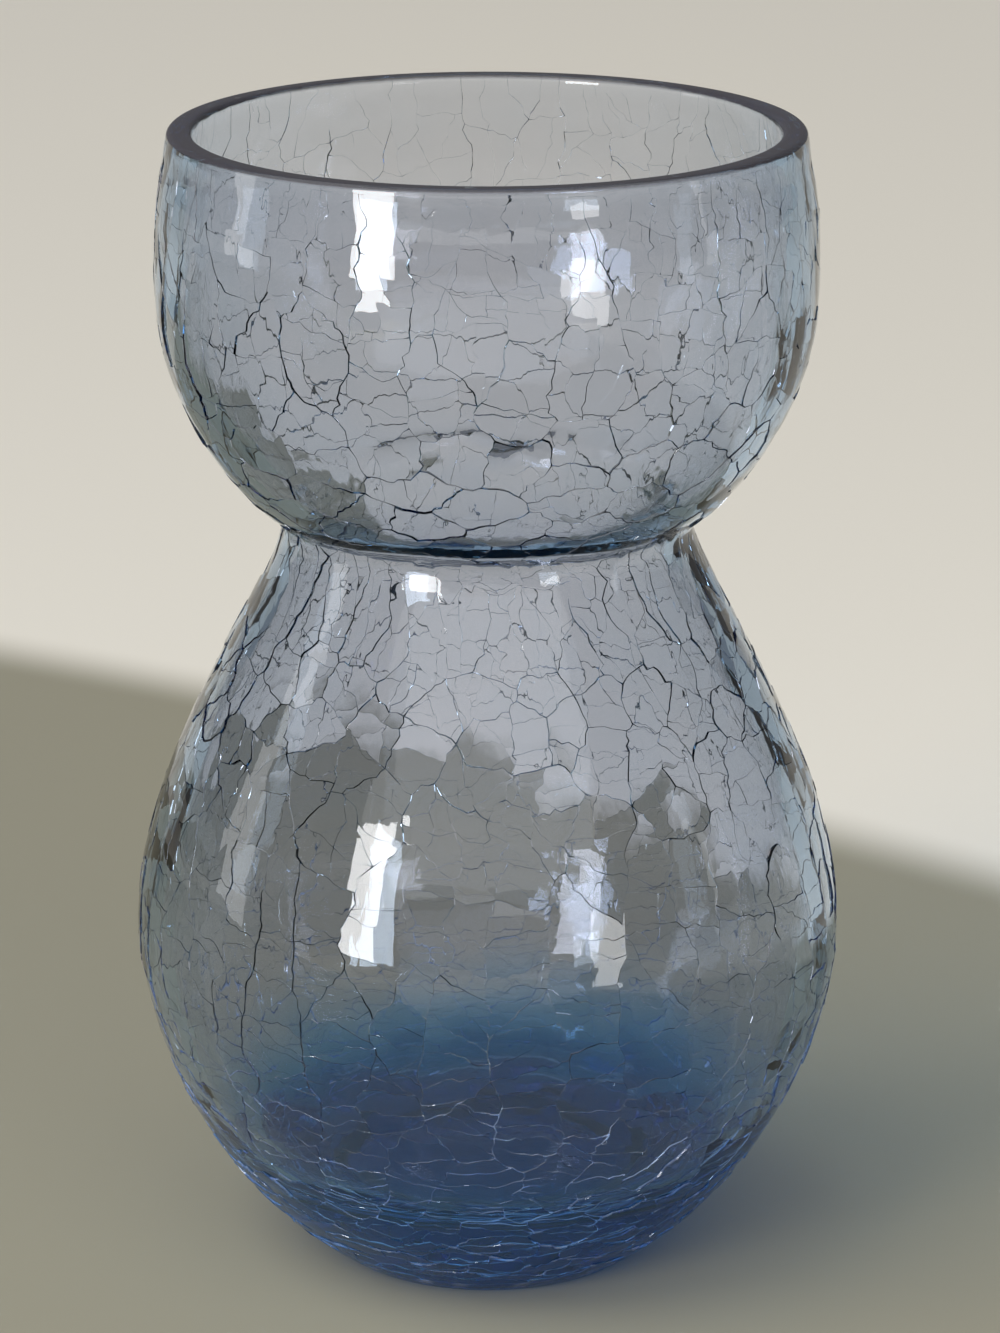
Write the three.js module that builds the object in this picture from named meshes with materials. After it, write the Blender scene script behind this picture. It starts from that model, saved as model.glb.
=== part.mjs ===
// Bulb forcing vase: one blown piece of blue glass, an open bulb cup above a pinched waist and a
// round water bowl below. The bulb sits on the ridge inside the waist with its roots in the bowl.
// Millimetres, +Z up, origin at the middle of the foot on the plane that the vase stands on.
import * as THREE from 'three';

// Overall sizes, outside. The cup's depths are measured down from the rim, the belly up from the foot.
const HEIGHT = 150;
const RIM_DIAMETER = 80.7;
const CUP_DIAMETER = 84.3;
const CUP_WIDEST_DEPTH = 20.6;
const WAIST_DIAMETER = 52.6;
const WAIST_DEPTH = 51;
const BELLY_DIAMETER = 92;
const BELLY_LEVEL = 45.1;
const FOOT_DIAMETER = 39;

// Thickness of the glass
const WALL = 3.3;
const FLOOR = 17.5;

// Rim, cut flat with its edges melted round
const RIM_ROUND = 0.8;

// Waist crease: its radius, and the slopes of the glass above and below it, from the vertical
const CREASE_RADIUS = 1.8;
const CUP_UNDERCUT = THREE.MathUtils.degToRad(72.6);
const SHOULDER_FLARE = THREE.MathUtils.degToRad(9.2);

// Foot: the rounded heel, the slope of the bowl above it, and the hollow left under the middle
const HEEL_RADIUS = 3;
const HEEL_SLOPE = THREE.MathUtils.degToRad(54.6);
const HOLLOW_DIAMETER = 34;
const HOLLOW_DEPTH = 2;

// Inside of the bowl: how far up the bowl stretch the wall starts to thicken, and the flat of the floor
const WALL_THICKENS_AT = 0.42;
const FLOOR_FLAT_DIAMETER = 24;

// Fullness of each curved stretch: its two handles, lower end first, as shares of the stretch's rise.
// The stretch into the floor has both handles alike, as a share of its length.
const LIP_FULLNESS = [0.85, 0.38];
const UNDER_CUP_FULLNESS = [0.11, 0.53];
const SHOULDER_FULLNESS = [0.415, 0.165];
const BOWL_FULLNESS = [0.535, 0.225];
const FLOOR_FULLNESS = 0.52;

// Points along each stretch, and facets round the vase
const ARC_STEPS = 5;
const EDGE_STEPS = 3;
const CURVE_STEPS = 10;
const FACETS = 48;

const point = (r, z) => new THREE.Vector2(r, z);
const heading = (slope) => point(Math.sin(slope), Math.cos(slope));

// Curve from one point up to another, leaving and arriving along the two headings
function stretch(from, leaving, to, arriving, [start, end]) {
  const rise = to.y - from.y;
  const first = from.clone().addScaledVector(leaving, start * rise);
  const second = to.clone().addScaledVector(arriving, -end * rise);
  return new THREE.CubicBezierCurve(from, first, second, to);
}

function arc(centre, radius, fromAngle, toAngle) {
  return new THREE.EllipseCurve(centre.x, centre.y, radius, radius, fromAngle, toAngle, toAngle < fromAngle);
}

// Shallow hollow under the foot, from the axis out to the ring that the vase stands on
function footHollow() {
  const reach = HOLLOW_DIAMETER / 2;
  const radius = (reach ** 2 + HOLLOW_DEPTH ** 2) / (2 * HOLLOW_DEPTH);
  return arc(point(0, HOLLOW_DEPTH - radius), radius, Math.PI / 2, Math.acos(reach / radius));
}

// Outside of the vase, from the foot up to the lip
function outsideStretches() {
  const upright = heading(0);
  const belly = point(BELLY_DIAMETER / 2, BELLY_LEVEL);
  const cup = point(CUP_DIAMETER / 2, HEIGHT - CUP_WIDEST_DEPTH);
  const lip = point(RIM_DIAMETER / 2, HEIGHT - RIM_ROUND);
  const lean = lip.clone().sub(cup).normalize();

  const heel = arc(point(FOOT_DIAMETER / 2, HEEL_RADIUS), HEEL_RADIUS, -Math.PI / 2, -HEEL_SLOPE);
  const crease = arc(
    point(WAIST_DIAMETER / 2 + CREASE_RADIUS, HEIGHT - WAIST_DEPTH),
    CREASE_RADIUS,
    Math.PI + SHOULDER_FLARE,
    Math.PI - CUP_UNDERCUT,
  );
  const creaseFoot = crease.getPoint(0);
  const creaseTop = crease.getPoint(1);
  return {
    heel,
    bowl: stretch(heel.getPoint(1), heading(HEEL_SLOPE), belly, upright, BOWL_FULLNESS),
    shoulder: stretch(belly, upright, creaseFoot, heading(-SHOULDER_FLARE), SHOULDER_FULLNESS),
    crease,
    underCup: stretch(creaseTop, heading(CUP_UNDERCUT), cup, upright, UNDER_CUP_FULLNESS),
    lip: stretch(cup, upright, lip, lean, LIP_FULLNESS),
  };
}

// Point one wall thickness inside a stretch
function insidePoint(curve, share) {
  const along = curve.getTangent(share);
  return curve.getPoint(share).addScaledVector(point(-along.y, along.x), WALL);
}

// The same stretch one wall thickness further in, from its upper end down
function insideOf(curve, steps, lowest = 0) {
  const points = [];
  for (let step = 0; step <= steps; step += 1) {
    points.push(insidePoint(curve, THREE.MathUtils.lerp(1, lowest, step / steps)));
  }
  return points;
}

// Thick base: the inside leaves the line of the wall, dips round the heel and rises to the flat floor
function floorStretch(bowl) {
  const top = insidePoint(bowl, WALL_THICKENS_AT);
  const edge = point(FLOOR_FLAT_DIAMETER / 2, FLOOR);
  const handle = FLOOR_FULLNESS * top.distanceTo(edge);
  const first = top.clone().addScaledVector(bowl.getTangent(WALL_THICKENS_AT), -handle);
  return new THREE.CubicBezierCurve(top, first, point(edge.x + handle, FLOOR), edge);
}

// Flat-cut rim with its outer and inner edge melted round, from the lip inwards
function rimEdges(innerLip) {
  const level = HEIGHT - RIM_ROUND;
  const outer = arc(point(RIM_DIAMETER / 2 - RIM_ROUND, level), RIM_ROUND, 0, Math.PI / 2);
  const inner = arc(point(innerLip.x + RIM_ROUND, level), RIM_ROUND, Math.PI / 2, Math.PI);
  return [...outer.getPoints(EDGE_STEPS), ...inner.getPoints(EDGE_STEPS)];
}

// Neighbouring stretches share their end point, which is kept once
function withoutRepeats(points) {
  const nearest = 1e-4;
  return points.filter((p, i) => i === 0 || p.distanceTo(points[i - 1]) > nearest);
}

// Closed half section, from the axis under the foot, up the outside, down the inside to the axis
function halfSection() {
  const out = outsideStretches();
  const insideLip = insideOf(out.lip, CURVE_STEPS / 2);
  return withoutRepeats([
    ...footHollow().getPoints(EDGE_STEPS),
    ...out.heel.getPoints(ARC_STEPS),
    ...out.bowl.getPoints(CURVE_STEPS),
    ...out.shoulder.getPoints(CURVE_STEPS),
    ...out.crease.getPoints(ARC_STEPS),
    ...out.underCup.getPoints(CURVE_STEPS),
    ...out.lip.getPoints(CURVE_STEPS / 2),
    ...rimEdges(insideLip[0]),
    ...insideLip,
    ...insideOf(out.underCup, CURVE_STEPS),
    ...insideOf(out.crease, ARC_STEPS),
    ...insideOf(out.shoulder, CURVE_STEPS),
    ...insideOf(out.bowl, CURVE_STEPS / 2, WALL_THICKENS_AT),
    ...floorStretch(out.bowl).getPoints(CURVE_STEPS),
    point(0, FLOOR),
  ]);
}

const blueGlass = new THREE.MeshStandardMaterial({
  color: 0x7f97c4,
  roughness: 0.08,
  metalness: 0,
  transparent: true,
  opacity: 0.45,
});

const vaseBody = new THREE.Mesh(new THREE.LatheGeometry(halfSection(), FACETS), blueGlass);
vaseBody.name = 'vase_body';
vaseBody.rotation.x = Math.PI / 2;

const vase = new THREE.Group();
vase.name = 'bulb_vase';
vase.add(vaseBody);

export default vase;
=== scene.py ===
"""Looks of a blue crackle glass bulb vase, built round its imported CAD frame.

The glass is one closed body. Its wall line is read from the CAD section, a net of cracks is laid out flat
over the outside, and a Geometry Nodes tree wraps that plan on the wall line and opens the cracks in it.
"""

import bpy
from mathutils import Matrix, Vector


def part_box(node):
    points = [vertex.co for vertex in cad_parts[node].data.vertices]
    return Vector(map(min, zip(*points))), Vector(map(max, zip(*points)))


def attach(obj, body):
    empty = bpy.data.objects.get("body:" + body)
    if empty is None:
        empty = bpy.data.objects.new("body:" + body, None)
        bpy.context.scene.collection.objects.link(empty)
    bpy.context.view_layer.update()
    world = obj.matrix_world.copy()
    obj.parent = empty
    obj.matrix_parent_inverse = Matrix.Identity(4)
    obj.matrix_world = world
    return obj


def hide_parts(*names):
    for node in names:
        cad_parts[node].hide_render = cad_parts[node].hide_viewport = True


bl_info = {
    "name": "Crackle bulb vase",
    "version": (1, 0, 0),
    "blender": (4, 5, 0),
    "location": "View3D > Sidebar > Bulb vase",
    "description": "Builds a blown crackle glass bulb vase and the plain studio that it stands in",
    "category": "Object",
}

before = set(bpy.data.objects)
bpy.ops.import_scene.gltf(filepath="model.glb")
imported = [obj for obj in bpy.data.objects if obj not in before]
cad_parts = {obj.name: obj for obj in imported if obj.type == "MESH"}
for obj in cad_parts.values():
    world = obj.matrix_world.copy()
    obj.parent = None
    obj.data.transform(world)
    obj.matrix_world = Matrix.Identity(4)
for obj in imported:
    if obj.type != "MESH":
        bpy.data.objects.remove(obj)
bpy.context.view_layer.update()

import math

import bmesh
import bpy
import numpy as np
from bpy.props import FloatProperty, FloatVectorProperty, IntProperty, PointerProperty
from mathutils import Vector
from mathutils.geometry import delaunay_2d_cdt

NODE = "vase_body"
SLOT = "blue_crackle_glass"
BODY = "root"

TURN = 2 * math.pi
FOOT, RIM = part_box(NODE)
HEIGHT = RIM.z - FOOT.z

# Points nearer than the first are one point. Rows of faces keep the second clear of the ends of a stretch.
NEAR = 1e-6
ROW_CLEAR = 1e-4

# Crack net by height on the wall, in metres. Main cracks part the glass into plates, and side cracks cut
# a plate into cells. The columns main and side say how far each kind opens, and the column upright how far
# upright main cracks go before level ones.
ZONE_COLUMNS = (
    "height",
    "plate_width",
    "plate_height",
    "cell_width",
    "cell_height",
    "main",
    "side",
    "upright",
)
CRACK_ZONES = (
    (0.0025, 0.0110, 0.0030, 0.0070, 0.0026, 0.85, 0.50, 0.40),
    (0.0080, 0.0110, 0.0036, 0.0065, 0.0026, 0.85, 0.50, 0.40),
    (0.0160, 0.0110, 0.0058, 0.0070, 0.0030, 0.75, 0.50, 0.45),
    (0.0270, 0.0110, 0.0110, 0.0085, 0.0034, 0.50, 0.50, 0.60),
    (0.0450, 0.0100, 0.0260, 0.0085, 0.0048, 0.42, 0.30, 0.75),
    (0.0660, 0.0095, 0.0160, 0.0068, 0.0068, 0.54, 0.26, 0.58),
    (0.0760, 0.0080, 0.0080, 0.0058, 0.0058, 0.66, 0.30, 0.50),
    (0.0870, 0.0075, 0.0085, 0.0054, 0.0062, 0.60, 0.28, 0.55),
    (0.0940, 0.0040, 0.0140, 0.0036, 0.0120, 0.40, 0.25, 0.85),
    (0.0985, 0.0080, 0.0090, 0.0070, 0.0090, 0.20, 0.08, 0.85),
    (0.1015, 0.0110, 0.0062, 0.0095, 0.0060, 0.45, 0.20, 0.60),
    (0.1050, 0.0110, 0.0062, 0.0095, 0.0060, 1.00, 0.35, 0.50),
    (0.1140, 0.0105, 0.0075, 0.0085, 0.0065, 1.00, 0.30, 0.50),
    (0.1230, 0.0100, 0.0120, 0.0075, 0.0080, 0.75, 0.25, 0.60),
    (0.1340, 0.0110, 0.0300, 0.0055, 0.0070, 0.50, 0.09, 0.86),
    (0.1500, 0.0125, 0.0400, 0.0045, 0.0070, 0.52, 0.05, 0.93),
)

# The net stops short of the foot, and under the melted edge of the rim
NET_FOOT = 0.0025
NET_RIM = 0.0010
NET_FADE = 0.0025

# Cracks close towards the rim, over this reach and to this share
RIM_FADE = 0.006
LEAST_AT_RIM = 0.25

# How the plan is cut up. Triangles are found in millimetres, and corners with the same key are one corner.
SCALE_STEPS = 1200
DARTS = 20000
SEED_GAP = 0.68
GAP_SPREAD = (0.7, 1.5)
SHORTEST_EDGE = 0.0010
EDGE_STEP = 0.00085
END_STEP = 0.0017
FILL_GAP = 0.0022
FILL_SCALE = 1000
KEY_STEPS = 1e6
KEY_NEAR = 1.5 / KEY_STEPS

# Splitting of a plate: the size over which it is split, where, how far off square, in how many tries,
# and the room for the crack
SPLIT_OVER = 1.4
SPLIT_SHARE = (0.3, 0.7)
SPLIT_LEAN = 0.3
SPLIT_TRIES = 8
SPLIT_CLEAR = 0.45

# Cracks: how their opening varies from one to the next and along the way, the least that shows, and
# the share of each kind that dies out
OPEN_SPREAD = {"main": (0.45, 1.3), "side": (0.25, 1.6)}
OPEN_SKEW = 1.6
OPEN_SWAY = 0.35
OPEN_SWAY_REACH = 0.009
LEAST_OPEN = 0.03
DYING = {"main": 0.15, "side": 0.6}

# How far a crack strays sideways at each step along it, as a share of the step, how fast that sets in from
# its ends, and how far its bottom lies to one side of its mouth
JAG = 0.36
JAG_SETS_IN = 6
SLANT = 0.00006
MOST_SLANT = 0.00030

# Glass beside a crack: the width of a closed one as a share, the drop of the lip, the shares of the full
# width that are tried where a cell is too narrow for it, and the longest step in at a sharp corner
CLOSED_WIDTH = 0.15
LIP_DROP = 0.015
LIP_SHARES = (1.0, 0.5, 0.2, 0.05, 0.0)
MOST_MITRE = 2.5

# Tilt of a cell beside that of its plate, and the most of both together, as a rise and as a slope
CELL_TILT_SHARE = 0.95
MOST_TILT = 1.5
MOST_SLOPE = 420.0

# Points on the smooth wall line between two corners of the CAD section, and those that get a row of
# faces, which lie closer near the rim
LINE_STEPS = 8
ROW_STRIDE = 8
RIM_STRIDE = 2
RIM_REACH = 0.004

# Blown ripples are drawn out upright and fade out before the rim and the foot. They lie a share of their
# height deeper than the wall line, and their slope is taken over a step.
RIPPLE_FADE = 0.012
RIPPLE_STRETCH = (1.0, 1.0, 0.25)
RIPPLE_SINK = 0.25
RIPPLE_SEED = 7.0
SLOPE_STEP = 0.001

# Keeps the turn of a straying crack small near the axis
AXIS_ROOM = 0.001

# Heights between which the painted shade on the cut of the rim sets in, and the body, the pale cracks of
# painted reflection, the tint and the shade of the base end
RIM_PAINTED_SHADE = (RIM.z - 0.0007, RIM.z - 0.0003)
BASE_BODY = (0.014, 0.026)
PAINTED_REFLECTION_HEIGHTS = (0.028, 0.052)
FOOT_TINT = (0.008, 0.027)
FOOT_SHADE = (0.012, 0.030)

# Fine waves in the polish are drawn out upright
WAVE_STRETCH = (1.0, 1.0, 0.35)

# Floor: its outline, its finish and the middle of its darker part
FLOOR_FACETS = 96
FLOOR_ROUGHNESS = 0.9
FLOOR_MIDDLE = (-0.600, -0.615, 0.0)

# Soft sun: its place and its spread
SUN_PLACE = (-0.8, -0.5, 1.2)
SUN_SPREAD = math.radians(40)

# Soft panel over the front: its place, its sides and its brightness as a share of the soft boxes'
PANEL_PLACE = (0.0, -0.9, 0.80)
PANEL_SIDES = (1.8, 1.0)
PANEL_SHARE = 0.085

# Soft boxes: bearing from the front towards the right, distance, lowest and highest edge, width, share
SOFT_BOXES = (
    (math.radians(-39), 0.90, 0.04, 0.46, 0.23, 1.0),
    (math.radians(34), 0.90, 0.01, 0.20, 0.18, 0.45),
    (math.radians(-92), 0.90, 0.04, 0.46, 0.17, 0.16),
    (math.radians(76), 0.90, 0.06, 0.36, 0.07, 0.12),
)

# Camera, as shares of the vase's height: its distance in front, its level, its aim and its step to
# the right
CAMERA_DISTANCE = 4.0
CAMERA_LEVEL = 1.7525
CAMERA_AIM = 0.5273
CAMERA_STEP = 0.0108


class WallLine:
    """Half section of the glass, from the middle of the foot over the rim to the middle of the floor."""

    def __init__(self, corners):
        self.points = smooth_line(corners, LINE_STEPS)
        self.points[:, 1] = np.clip(self.points[:, 1], corners[:, 1].min(), corners[:, 1].max())
        steps = np.linalg.norm(np.diff(self.points, axis=0), axis=1)
        self.reach = np.concatenate([[0.0], np.cumsum(steps)])
        self.rim = int(np.argmax(self.points[:, 1]))
        self.heel = int(np.flatnonzero(self.points[: self.rim, 1] <= corners[:, 1].min() + NEAR)[-1])

    def at(self, reach):
        """Radius and height at a reach along the line."""
        return [np.interp(reach, self.reach, self.points[:, axis]) for axis in (0, 1)]

    def outside_reach(self, height):
        """Reach at which the outside passes a height."""
        part = slice(self.heel, self.rim + 1)
        return float(np.interp(height, self.points[part, 1], self.reach[part]))

    def rows(self, start, stop):
        """Reaches between start and stop that get a row of faces, closest on the rim."""
        low, high = min(start, stop) + ROW_CLEAR, max(start, stop) - ROW_CLEAR
        rows = []
        for index, reach in enumerate(self.reach):
            at_rim = abs(reach - self.reach[self.rim]) < RIM_REACH
            if index % (RIM_STRIDE if at_rim else ROW_STRIDE) == 0 and low < reach < high:
                rows.append(reach)
        return rows if start < stop else rows[::-1]

    def curve_object(self, name):
        """The line as a curve in the XZ plane."""
        curve = bpy.data.curves.new(name, "CURVE")
        curve.dimensions = "3D"
        spline = curve.splines.new("POLY")
        spline.points.add(len(self.points) - 1)
        for point, (radius, height) in zip(spline.points, self.points):
            point.co = (radius, 0.0, height, 1.0)
        result = bpy.data.objects.new(name, curve)
        bpy.context.scene.collection.objects.link(result)
        return result


def half_section(node):
    """Radius and height of each corner of a turned CAD node, in order along its section."""
    solid = bmesh.new()
    solid.from_mesh(node.data)
    bmesh.ops.remove_doubles(solid, verts=solid.verts, dist=NEAR)
    cut = {v for v in solid.verts if abs(v.co.y) < NEAR and v.co.x > -NEAR}
    corner = min((v for v in cut if v.co.x < NEAR), key=lambda v: v.co.z)
    walked = []
    while corner is not None:
        walked.append((max(corner.co.x, 0.0), corner.co.z))
        cut.discard(corner)
        beyond = [edge.other_vert(corner) for edge in corner.link_edges]
        corner = next((v for v in beyond if v in cut), None)
    solid.free()
    if len(walked) < 3 or walked[-1][0] > NEAR:
        raise RuntimeError("the section of the CAD node doesn't run from axis to axis")
    return np.array(walked)


def smooth_line(corners, steps):
    """Smooth line through the corners, each stretch cut into steps."""
    chords = np.diff(corners, axis=0)
    lengths = np.linalg.norm(chords, axis=1)[:, None]
    slopes = chords / lengths
    middle = (slopes[:-1] * lengths[1:] + slopes[1:] * lengths[:-1]) / (lengths[:-1] + lengths[1:])
    tangents = np.vstack([slopes[:1], middle, slopes[-1:]])[:, None]
    share = np.linspace(0, 1, steps, endpoint=False)[None, :, None]
    start, end = corners[:-1, None], corners[1:, None]
    leave, arrive = tangents[:-1] * lengths[:, None], tangents[1:] * lengths[:, None]
    line = (
        start * (1 + 2 * share) * (1 - share) ** 2
        + leave * share * (1 - share) ** 2
        + end * share**2 * (3 - 2 * share)
        + arrive * share**2 * (share - 1)
    )
    return np.vstack([line.reshape(-1, 2), corners[-1:]])


def zone(column, height):
    """Value of a column of the crack zones at a height."""
    table = np.array(CRACK_ZONES)
    return np.interp(height, table[:, 0], table[:, ZONE_COLUMNS.index(column)])


def wrapped(angle):
    """Angle brought between minus and plus half a turn."""
    return (angle + math.pi) % TURN - math.pi


def circle_middles(triangles):
    """Middle of the circle through the three corners of each triangle."""
    start = triangles[:, 0]
    first, second = triangles[:, 1] - start, triangles[:, 2] - start
    first_square, second_square = (first**2).sum(1), (second**2).sum(1)
    twice_area = 2 * (first[:, 0] * second[:, 1] - first[:, 1] * second[:, 0])
    across = second[:, 1] * first_square - first[:, 1] * second_square
    up = first[:, 0] * second_square - second[:, 0] * first_square
    return start + np.column_stack([across, up]) / twice_area[:, None]


def inward(loop):
    """Step at each point of a loop that moves both edges beside it inwards by one."""
    ahead = np.roll(loop, -1, axis=0) - loop
    ahead /= np.linalg.norm(ahead, axis=1)[:, None]
    normal = np.column_stack([-ahead[:, 1], ahead[:, 0]])
    both = normal + np.roll(normal, 1, axis=0)
    both /= np.linalg.norm(both, axis=1)[:, None]
    return both / np.maximum((both * normal).sum(1), 1 / MOST_MITRE)[:, None]


def inside(loop, points):
    """Which points lie inside a closed loop."""
    ahead = np.roll(loop, -1, axis=0)
    across, up = points[:, None, 0], points[:, None, 1]
    spans = (loop[:, 1] > up) != (ahead[:, 1] > up)
    climb = np.where(ahead[:, 1] == loop[:, 1], 1.0, ahead[:, 1] - loop[:, 1])
    crossing = loop[:, 0] + (up - loop[:, 1]) / climb * (ahead[:, 0] - loop[:, 0])
    return (spans & (across < crossing)).sum(axis=1) % 2 == 1


def nearest(points, others):
    """Distance from each point to the nearest of the others."""
    return np.linalg.norm(points[:, None] - others[None], axis=2).min(axis=1)


def triangles_in(points, count):
    """Triangles inside the loop of the first points, up to a count. None where the loop crosses itself."""
    outline = [list(range(count))]
    scaled = [Vector(point * FILL_SCALE) for point in points]
    _, _, faces, sources, _, _ = delaunay_2d_cdt(scaled, [], outline, 1, 0)
    if len(sources) != len(points) or any(len(source) != 1 for source in sources):
        return None
    return [[sources[corner][0] for corner in face] for face in faces]


def fill(loop):
    """Points on and inside a loop, and the triangles between them. None where the loop crosses itself."""
    low, high = loop.min(0), loop.max(0)
    across = np.arange(low[0], high[0], FILL_GAP)
    up = np.arange(low[1], high[1], FILL_GAP)
    grid = np.array([(x + FILL_GAP / 2 * (row % 2), y) for row, y in enumerate(up) for x in across])
    grid = grid[inside(loop, grid) & (nearest(grid, loop) > FILL_GAP / 2)]
    points = np.vstack([loop, grid])
    triangles = triangles_in(points, len(loop))
    return None if triangles is None else (points, triangles)


class NetScale:
    """Upright scale on which the plates of the net are as tall as they are wide."""

    def __init__(self, wall, low, high):
        self.reach = np.linspace(low, high, SCALE_STEPS)
        radius, height = wall.at(self.reach)
        self.pitch = zone("plate_width", height) / radius
        rate = self.pitch / zone("plate_height", height)
        steps = (rate[1:] + rate[:-1]) / 2 * np.diff(self.reach)
        self.level = np.concatenate([[0.0], np.cumsum(steps)])
        self.top = self.level[-1]

    def reach_of(self, level):
        return np.interp(level, self.level, self.reach)

    def scatter(self, random):
        """Turns and levels of the middles of the plates, no two nearer than their size there allows."""
        darts = random.uniform((0, 0), (TURN, self.top), (DARTS, 2))
        pitches = np.interp(darts[:, 1], self.level, self.pitch)
        gaps = SEED_GAP * pitches * random.uniform(*GAP_SPREAD, DARTS)
        kept = np.empty((0, 2))
        for dart, gap in zip(darts, gaps):
            across = wrapped(kept[:, 0] - dart[0])
            if np.all(np.hypot(across, kept[:, 1] - dart[1]) > gap):
                kept = np.vstack([kept, dart])
        return kept


class Patch:
    """A loop of the plan laid flat, in metres on the glass from its first point."""

    def __init__(self, plan, names):
        places = np.array([plan.places[name] for name in names])
        self.hub = places[0]
        radius, self.height = plan.wall.at(places[:, 1].mean())
        self.scale = np.array([radius, 1.0])
        self.points = self.lay(places)

    def lay(self, places):
        steps = places - self.hub
        return np.column_stack([wrapped(steps[:, 0]), steps[:, 1]]) * self.scale

    def lift(self, points):
        return self.hub + points / self.scale


class CrackPlan:
    """Flat plan of the crack net: turn in radians across, reach along the wall line up.

    Main cracks part the outside into plates. Side cracks split each plate until its cells are small enough.
    """

    def __init__(self, wall, settings):
        self.wall = wall
        self.settings = settings
        self.random = np.random.default_rng(settings.seed)
        self.low = wall.outside_reach(FOOT.z + NET_FOOT)
        self.high = wall.outside_reach(RIM.z - NET_RIM)
        self.plates = NetScale(wall, self.low, self.high)
        self.find_plates(self.plates.scatter(self.random))
        self.join_short_edges()
        self.cut_edges()
        self.calm_plates()
        self.cells = []
        for plate, loop in enumerate(self.loops):
            self.split(self.full_loop(loop), plate)
        self.tilts = self.random.normal(size=(len(self.loops), 2))

    def find_plates(self, seeds):
        """Corner loop of each plate, from the triangles that join neighbouring seeds.

        The seeds are repeated a turn to each side and mirrored at both ends, so the net closes on itself
        round the vase and ends on straight lines at the foot and at the rim.
        """
        top = self.plates.top
        ring = np.vstack([seeds + (shift, 0) for shift in (0, -TURN, TURN)])
        points = np.vstack([ring, ring * (1, -1), ring * (1, -1) + (0, 2 * top)])
        _, _, faces, sources, _, _ = delaunay_2d_cdt([Vector(p) for p in points], [], [], 0, 0)
        triangles = np.array([[sources[i][0] for i in face] for face in faces])
        middles = circle_middles(points[triangles])

        around = [[] for _ in seeds]
        for index, triangle in enumerate(triangles):
            for seed in triangle:
                if seed < len(seeds):
                    around[seed].append(index)

        self.corners = []
        self.loops = []
        known = {}
        whole = round(TURN * KEY_STEPS)
        for seed, mine in zip(seeds, around):
            spokes = middles[mine] - seed
            loop = []
            for index in np.argsort(np.arctan2(spokes[:, 1], spokes[:, 0])):
                turn, level = middles[mine[index]]
                level = min(max(level, 0.0), top)
                key = (round(turn % TURN * KEY_STEPS) % whole, round(level * KEY_STEPS))
                if key not in known:
                    known[key] = len(self.corners)
                    self.corners.append((turn % TURN, level))
                if known[key] not in loop:
                    loop.append(known[key])
            self.loops.append(loop)
        self.corners = np.array(self.corners)
        self.at_end = (self.corners[:, 1] < KEY_NEAR) | (self.corners[:, 1] > top - KEY_NEAR)

    def flat_step(self, first, second):
        """Way from one corner to another, in metres on the glass, and the radius there."""
        (turn_a, level_a), (turn_b, level_b) = self.corners[first], self.corners[second]
        reach_a, reach_b = self.plates.reach_of(level_a), self.plates.reach_of(level_b)
        radius, _ = self.wall.at((reach_a + reach_b) / 2)
        return np.array([wrapped(turn_b - turn_a) * radius, reach_b - reach_a]), radius

    def edges(self):
        """Each edge of the net once, by its two corners."""
        pairs = {tuple(sorted(pair)) for loop in self.loops for pair in zip(loop, loop[1:] + loop[:1])}
        return sorted(pairs)

    def join_short_edges(self):
        """Draws the ends of very short edges together, keeping what lies on an end line there."""
        owner = list(range(len(self.corners)))

        def root(corner):
            while owner[corner] != corner:
                corner = owner[corner]
            return corner

        for first, second in self.edges():
            step, _ = self.flat_step(first, second)
            keep, drop = root(first), root(second)
            if np.linalg.norm(step) < SHORTEST_EDGE and keep != drop:
                if self.at_end[drop] and not self.at_end[keep]:
                    keep, drop = drop, keep
                owner[drop] = keep
        merged = []
        for loop in self.loops:
            names = [root(corner) for corner in loop]
            names = [name for i, name in enumerate(names) if name != names[i - 1]]
            if len(names) > 2:
                merged.append(names)
        self.loops = merged

    def cut_edges(self):
        """Points along every main crack, shared by the plates beside it.

        Each has its place, how far the crack is open there, and the way from the mouth to the bottom.
        """
        self.places = [(turn, float(self.plates.reach_of(level))) for turn, level in self.corners]
        self.open = [0.0] * len(self.places)
        self.slant = [(0.0, 0.0)] * len(self.places)
        self.level = [level for _, level in self.corners]
        self.between = {}
        self.straight = {}
        for first, second in self.edges():
            step, radius = self.flat_step(first, second)
            length = np.linalg.norm(step)
            at_end = self.at_end[first] and self.at_end[second]
            count = max(1, round(length / (END_STEP if at_end else EDGE_STEP)))
            shares = np.linspace(0, 1, count + 1)
            levels = np.interp(shares, (0, 1), self.corners[[first, second], 1])
            reaches = self.plates.reach_of(levels)
            sideways = np.array([-step[1], step[0]]) / length
            opening = np.zeros(count + 1)
            stray = np.zeros(count + 1)
            if not at_end:
                opening = self.opening("main", reaches, shares, abs(step[1]) / length)
                stray = self.stray(shares)
            turns = self.corners[first, 0] + (step[0] * shares + stray * sideways[0]) / radius
            ends = (first, second)
            strayed = reaches + stray * sideways[1]
            new = self.lay_crack(ends, turns, strayed, opening, sideways / (radius, 1.0))
            self.level.extend(levels[1:-1])
            self.between[first, second] = new
            straight_turns = self.corners[first, 0] + step[0] * shares / radius
            self.straight.update(zip(new, zip(straight_turns[1:-1], reaches[1:-1])))

    def calm_plates(self):
        """Draws the main cracks round a plate towards straight lines while any of them cross."""
        while crossed := [loop for loop in self.loops if not self.is_simple(loop)]:
            for name in {name for loop in crossed for name in self.full_loop(loop)} & self.straight.keys():
                self.places[name] = tuple(np.mean([self.places[name], self.straight[name]], axis=0))

    def is_simple(self, loop):
        names = self.full_loop(loop)
        return triangles_in(Patch(self, names).points, len(names)) is not None

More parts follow.
